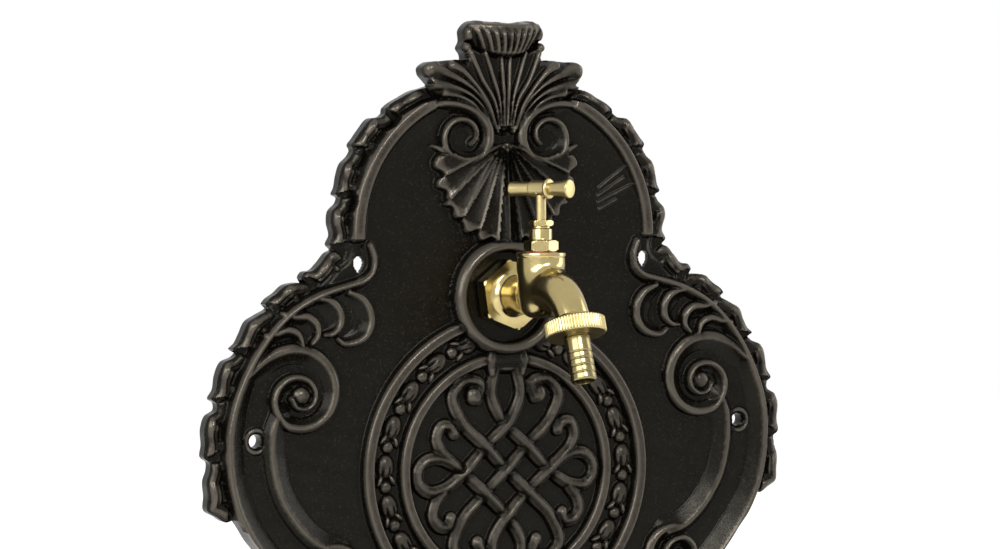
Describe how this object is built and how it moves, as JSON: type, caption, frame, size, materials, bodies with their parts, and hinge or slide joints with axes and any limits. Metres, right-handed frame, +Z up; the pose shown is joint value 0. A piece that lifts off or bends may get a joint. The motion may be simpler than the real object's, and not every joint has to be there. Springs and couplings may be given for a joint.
{
  "type": "wall-mounted garden fountain",
  "caption": "Cast-iron wall fountain with scrolled, leafy relief, a brass bib tap with a T handle and hose union, and a half-round basin with a drain.",
  "frame": {"origin": "point where the axis of the tap's inlet meets the wall plane (the back of the plate)", "axes": "+X to the viewer's right, +Y into the wall, +Z up"},
  "size_m": [0.3924, 0.175, 0.5125],
  "materials": {
    "cast_iron": "dark brown-black semi-gloss coating on a sand-cast surface, worn paler on raised edges",
    "brass": "polished, lightly tarnished",
    "steel": "dull",
    "fibre": "pressed fibre",
    "rubber": "matt",
    "packing": "greased cord"
  },
  "bodies": {
    "fountain": {"back_plate": "cast_iron", "basin": "cast_iron", "basin_bolts": "steel", "basin_washers": "steel", "basin_nuts": "steel", "waste_strainer": "brass", "waste_seal": "rubber", "waste_locknut": "brass", "tap_body": "brass", "wall_washer": "fibre", "tap_backnut": "brass", "bonnet": "brass", "bonnet_gasket": "fibre", "gland_packing": "packing", "gland_nut": "brass"},
    "valve": {"jumper": "brass", "jumper_washer": "rubber", "jumper_nut": "brass"},
    "handle": {"spindle": "brass", "handle_hub": "brass", "handle_arms": "brass", "handle_pin": "brass"},
    "tail": {"hose_tail": "brass", "union_washer": "fibre"},
    "union": {"union_nut": "brass"}
  },
  "joints": [
    {"name": "valve_rise", "type": "slide", "parent": "fountain", "child": "valve", "axis": [0, 0, 1], "range_m": [0, 0.0046]},
    {"name": "handle_turn", "type": "hinge", "parent": "valve", "child": "handle", "pos_m": [0, -0.0614, 0.05], "axis": [0, 0, 1], "range_deg": [0, 810]},
    {"name": "hose_tail_drop", "type": "slide", "parent": "fountain", "child": "tail", "axis": [0, -0.342, -0.9397], "range_m": [0, 0.0073]},
    {"name": "union_nut_turn", "type": "hinge", "parent": "tail", "child": "union", "pos_m": [0, -0.10557, -0.01562], "axis": [0, -0.342, -0.9397], "range_deg": [0, 1440]}
  ],
  "couplings": [
    {"joint": "valve_rise", "follows": "handle_turn", "m_per_rad": 0.00031831},
    {"joint": "hose_tail_drop", "follows": "union_nut_turn", "m_per_rad": 0.00028871}
  ]
}
